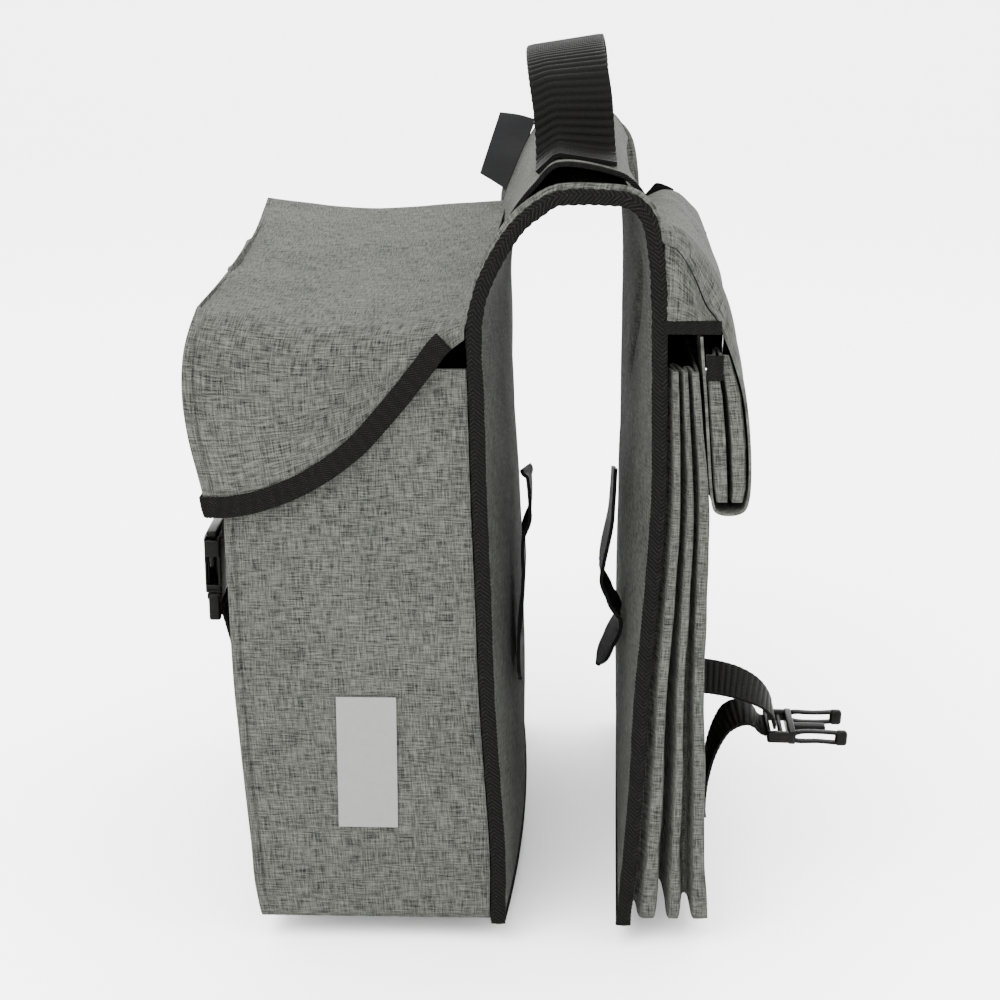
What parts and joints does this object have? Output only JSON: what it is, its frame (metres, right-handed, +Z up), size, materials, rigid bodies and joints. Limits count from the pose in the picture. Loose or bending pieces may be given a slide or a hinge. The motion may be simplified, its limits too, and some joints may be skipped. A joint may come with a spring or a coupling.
{
  "type": "double bicycle pannier",
  "caption": "Grey fabric double bicycle pannier: one side bag full and buckled shut, the other folded flat, joined by a bridge with a carrying handle.",
  "frame": {"origin": "centre of the bounding box in X and Y, on the floor that the two bags stand on", "axes": "+Z up, X across the bicycle with the full bag at -X, Y along the bicycle with the near end at -Y"},
  "size_m": [0.3778, 0.3432, 0.4957],
  "materials": {
    "melange_cloth": "matt coated polyester with a grey melange weave",
    "black_tape": "matt twill binding tape",
    "black_webbing": "ribbed woven webbing with a slight sheen",
    "charcoal_band": "plain close-woven band",
    "black_plastic": "moulded acetal with a satin surface",
    "reflective": "plain silver-grey reflective film on cloth"
  },
  "bodies": {
    "root": {"saddle_panel": "melange_cloth", "near_binding": "black_tape", "far_binding": "black_tape", "left_hem": "black_tape", "right_hem": "black_tape", "handle_panel": "melange_cloth", "handle_panel_near_edge": "black_tape", "handle_panel_far_edge": "black_tape", "handle": "black_webbing", "left_bag": "melange_cloth", "left_lid": "melange_cloth", "left_lid_binding": "black_tape", "right_bag": "melange_cloth", "right_lid": "melange_cloth", "right_lid_near_gusset": "melange_cloth", "right_lid_near_end": "melange_cloth", "right_lid_near_border": "black_tape", "right_lid_near_pleat": "black_tape", "right_lid_far_gusset": "melange_cloth", "right_lid_far_end": "melange_cloth", "right_lid_far_border": "black_tape", "right_lid_far_pleat": "black_tape", "left_near_socket": "black_plastic", "left_near_plug": "black_plastic", "left_near_lid_webbing": "black_webbing", "left_near_body_webbing": "black_webbing", "left_far_socket": "black_plastic", "left_far_plug": "black_plastic", "left_far_lid_webbing": "black_webbing", "left_far_body_webbing": "black_webbing", "right_near_strap": "black_webbing", "right_near_strap_tail": "black_webbing", "right_near_plug": "black_plastic", "right_far_plug": "black_plastic", "right_far_strap": "black_webbing", "left_carrier_strap": "black_webbing", "right_carrier_strap": "black_webbing", "left_strap_tab": "charcoal_band", "right_lid_bound_corner": "black_tape", "reflective_patch": "reflective"}
  },
  "joints": []
}
